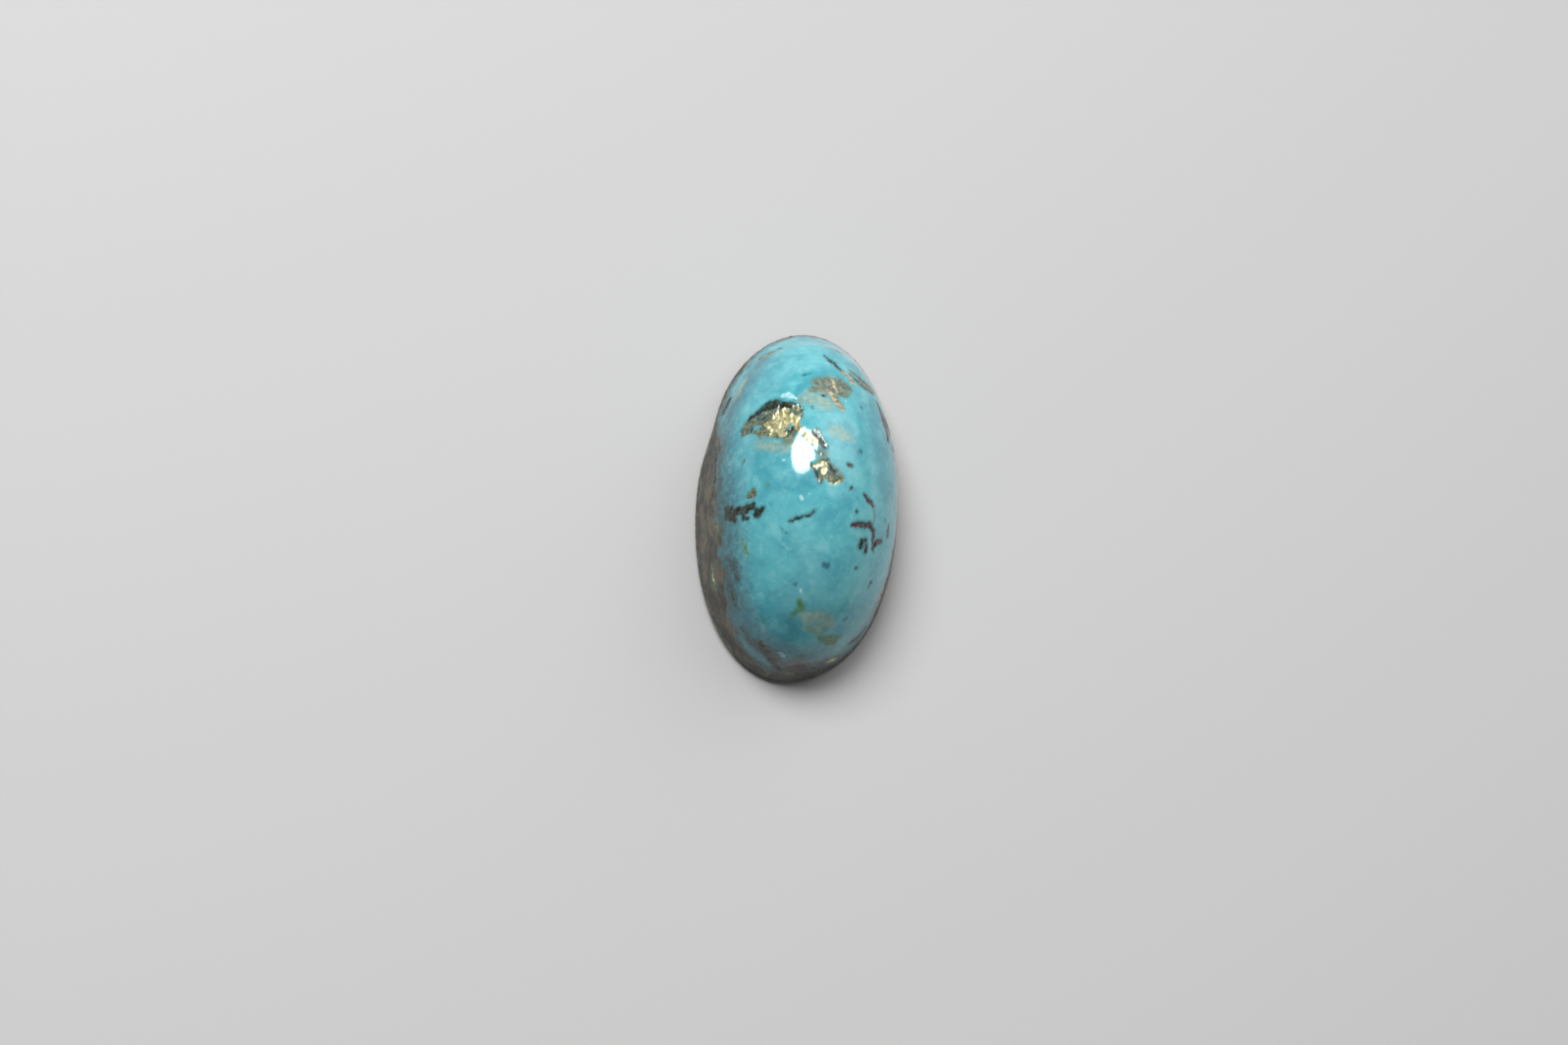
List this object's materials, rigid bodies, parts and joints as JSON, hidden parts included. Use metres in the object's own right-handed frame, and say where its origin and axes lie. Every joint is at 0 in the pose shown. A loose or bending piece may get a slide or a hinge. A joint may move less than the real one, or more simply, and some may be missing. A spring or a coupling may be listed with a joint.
{
  "type": "turquoise cabochon",
  "caption": "Polished oval turquoise stone with a high dome, a low leaning wall and a flat sawn back, blue with brassy pyrite and brown host rock.",
  "frame": {"origin": "middle of the flat back, under the centre of the oval", "axes": "+Z from the flat back up to the crown of the dome, +Y along the stone to its narrower end, +X across it"},
  "size_m": [0.0178, 0.0304, 0.0116],
  "materials": {
    "turquoise": "polished, blue with brassy pyrite and brown host rock; the back is sawn and lapped matt"
  },
  "bodies": {
    "root": {"stone": "turquoise"}
  },
  "joints": []
}
